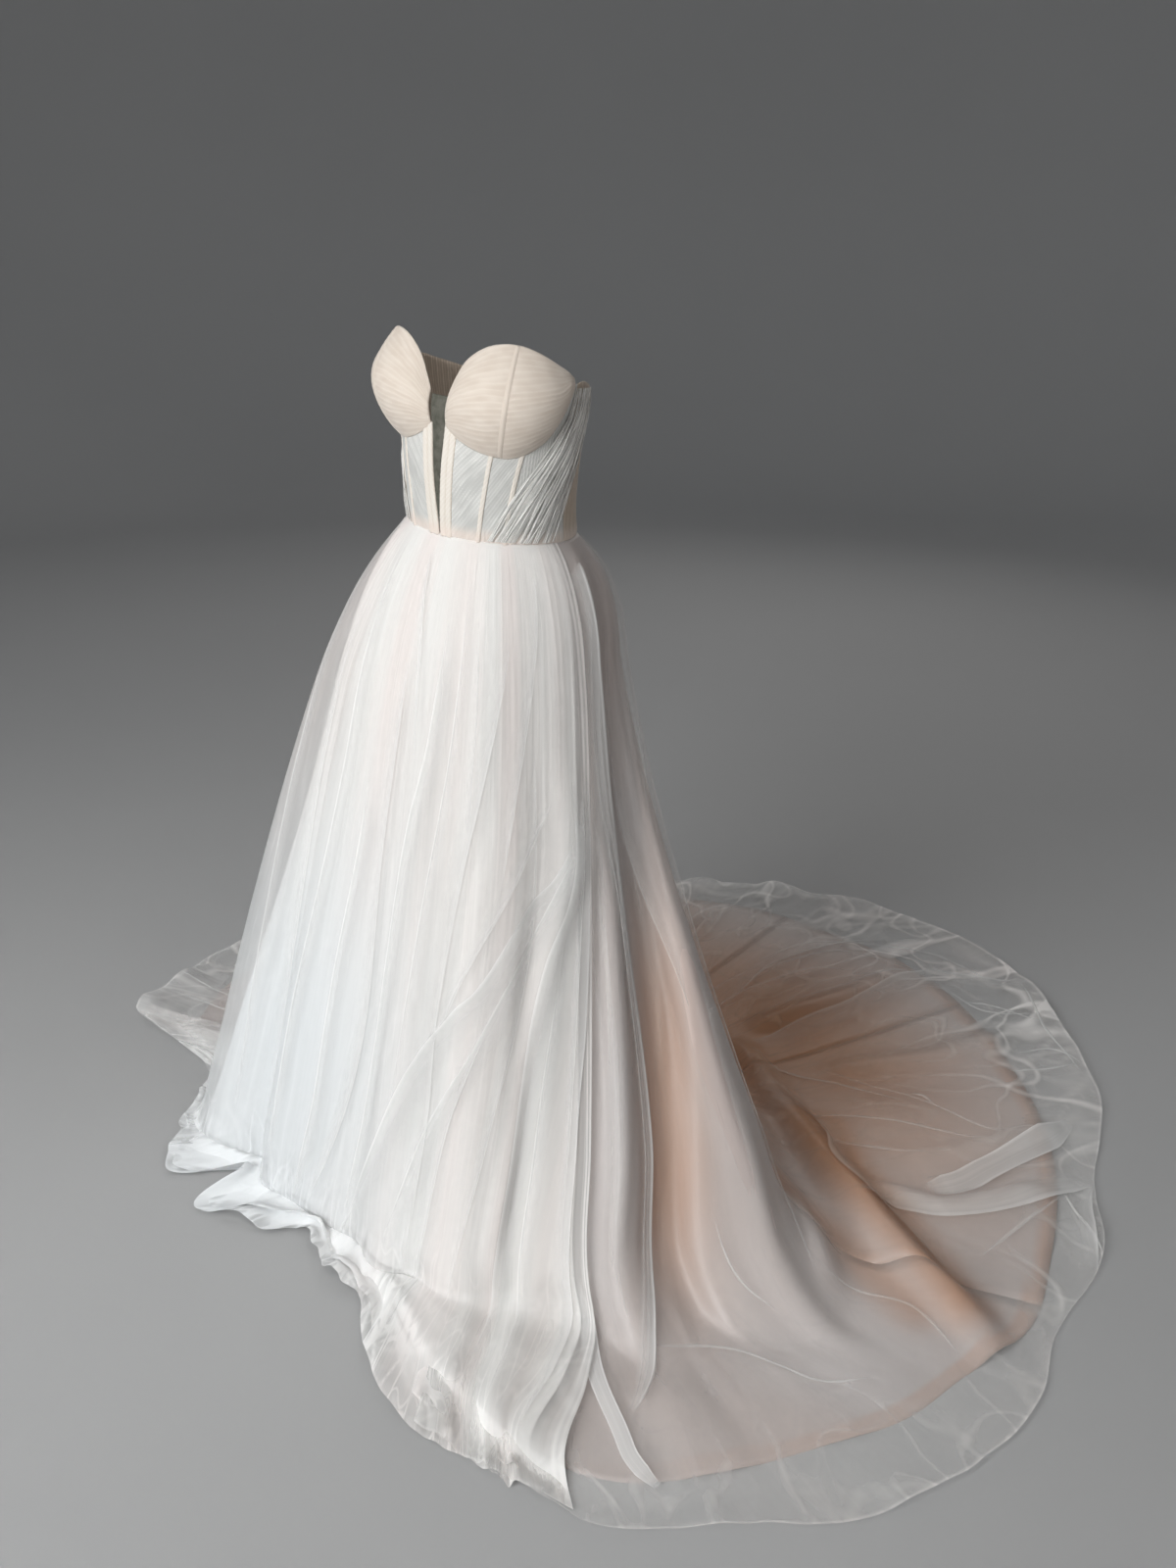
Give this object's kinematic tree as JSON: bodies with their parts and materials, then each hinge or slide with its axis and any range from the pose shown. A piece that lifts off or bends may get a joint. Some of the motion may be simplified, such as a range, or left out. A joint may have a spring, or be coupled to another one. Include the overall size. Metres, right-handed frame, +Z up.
{
  "type": "a-line wedding dress",
  "caption": "Strapless A-line wedding dress in its worn shape, with padded cups, a boned sheer corset, and gathered tulle over a satin skirt with a round train.",
  "frame": {"origin": "centre of the waist seam, where the wearer's waist holds the dress up", "axes": "+Z up, the dress's front faces -Y, +X is the wearer's left"},
  "size_m": [1.96, 1.8513, 1.4253],
  "materials": {
    "cup": "pleated tulle over padded cups, matte",
    "sheer": "pleated sheer tulle, matte",
    "casing": "boning tape under tulle, soft sheen",
    "insert": "fine mesh, matte",
    "satin": "satin, soft sheen",
    "tulle": "gathered sheer tulle, matte",
    "tape": "woven tape, matte",
    "zip": "ivory enamel, semi-gloss"
  },
  "bodies": {
    "gown": {"mesh_insert": "insert", "front_panel_left": "sheer", "front_panel_right": "sheer", "side_front_panel_left": "sheer", "side_front_panel_right": "sheer", "side_panel_left": "sheer", "side_panel_right": "sheer", "side_back_panel_left": "sheer", "side_back_panel_right": "sheer", "back_panel_left": "sheer", "back_panel_right": "sheer", "front_casing_left": "casing", "front_casing_right": "casing", "middle_casing_left": "casing", "middle_casing_right": "casing", "side_casing_left": "casing", "side_casing_right": "casing", "cup_inner_left": "cup", "cup_inner_right": "cup", "cup_outer_left": "cup", "cup_outer_right": "cup", "cup_strip_left": "casing", "cup_strip_right": "casing", "side_drape_left": "sheer", "side_drape_right": "sheer", "lining_front": "satin", "lining_side_front_left": "satin", "lining_side_left": "satin", "lining_side_back_left": "satin", "lining_back_left": "satin", "lining_back_right": "satin", "lining_side_back_right": "satin", "lining_side_right": "satin", "lining_side_front_right": "satin", "tulle_front_right": "tulle", "tulle_front": "tulle", "tulle_front_left": "tulle", "tulle_side_left": "tulle", "tulle_back_left": "tulle", "tulle_back_right": "tulle", "tulle_side_right": "tulle", "zip_tape": "tape", "zip_slider": "zip"},
    "zip_tab": {"zip_pull_tab": "zip"}
  },
  "joints": [
    {"name": "zip_tab_swing", "type": "hinge", "parent": "gown", "child": "zip_tab", "pos_m": [0, 0.12292, 0.1875], "axis": [1, 0, 0], "range_deg": [0, 150]}
  ]
}
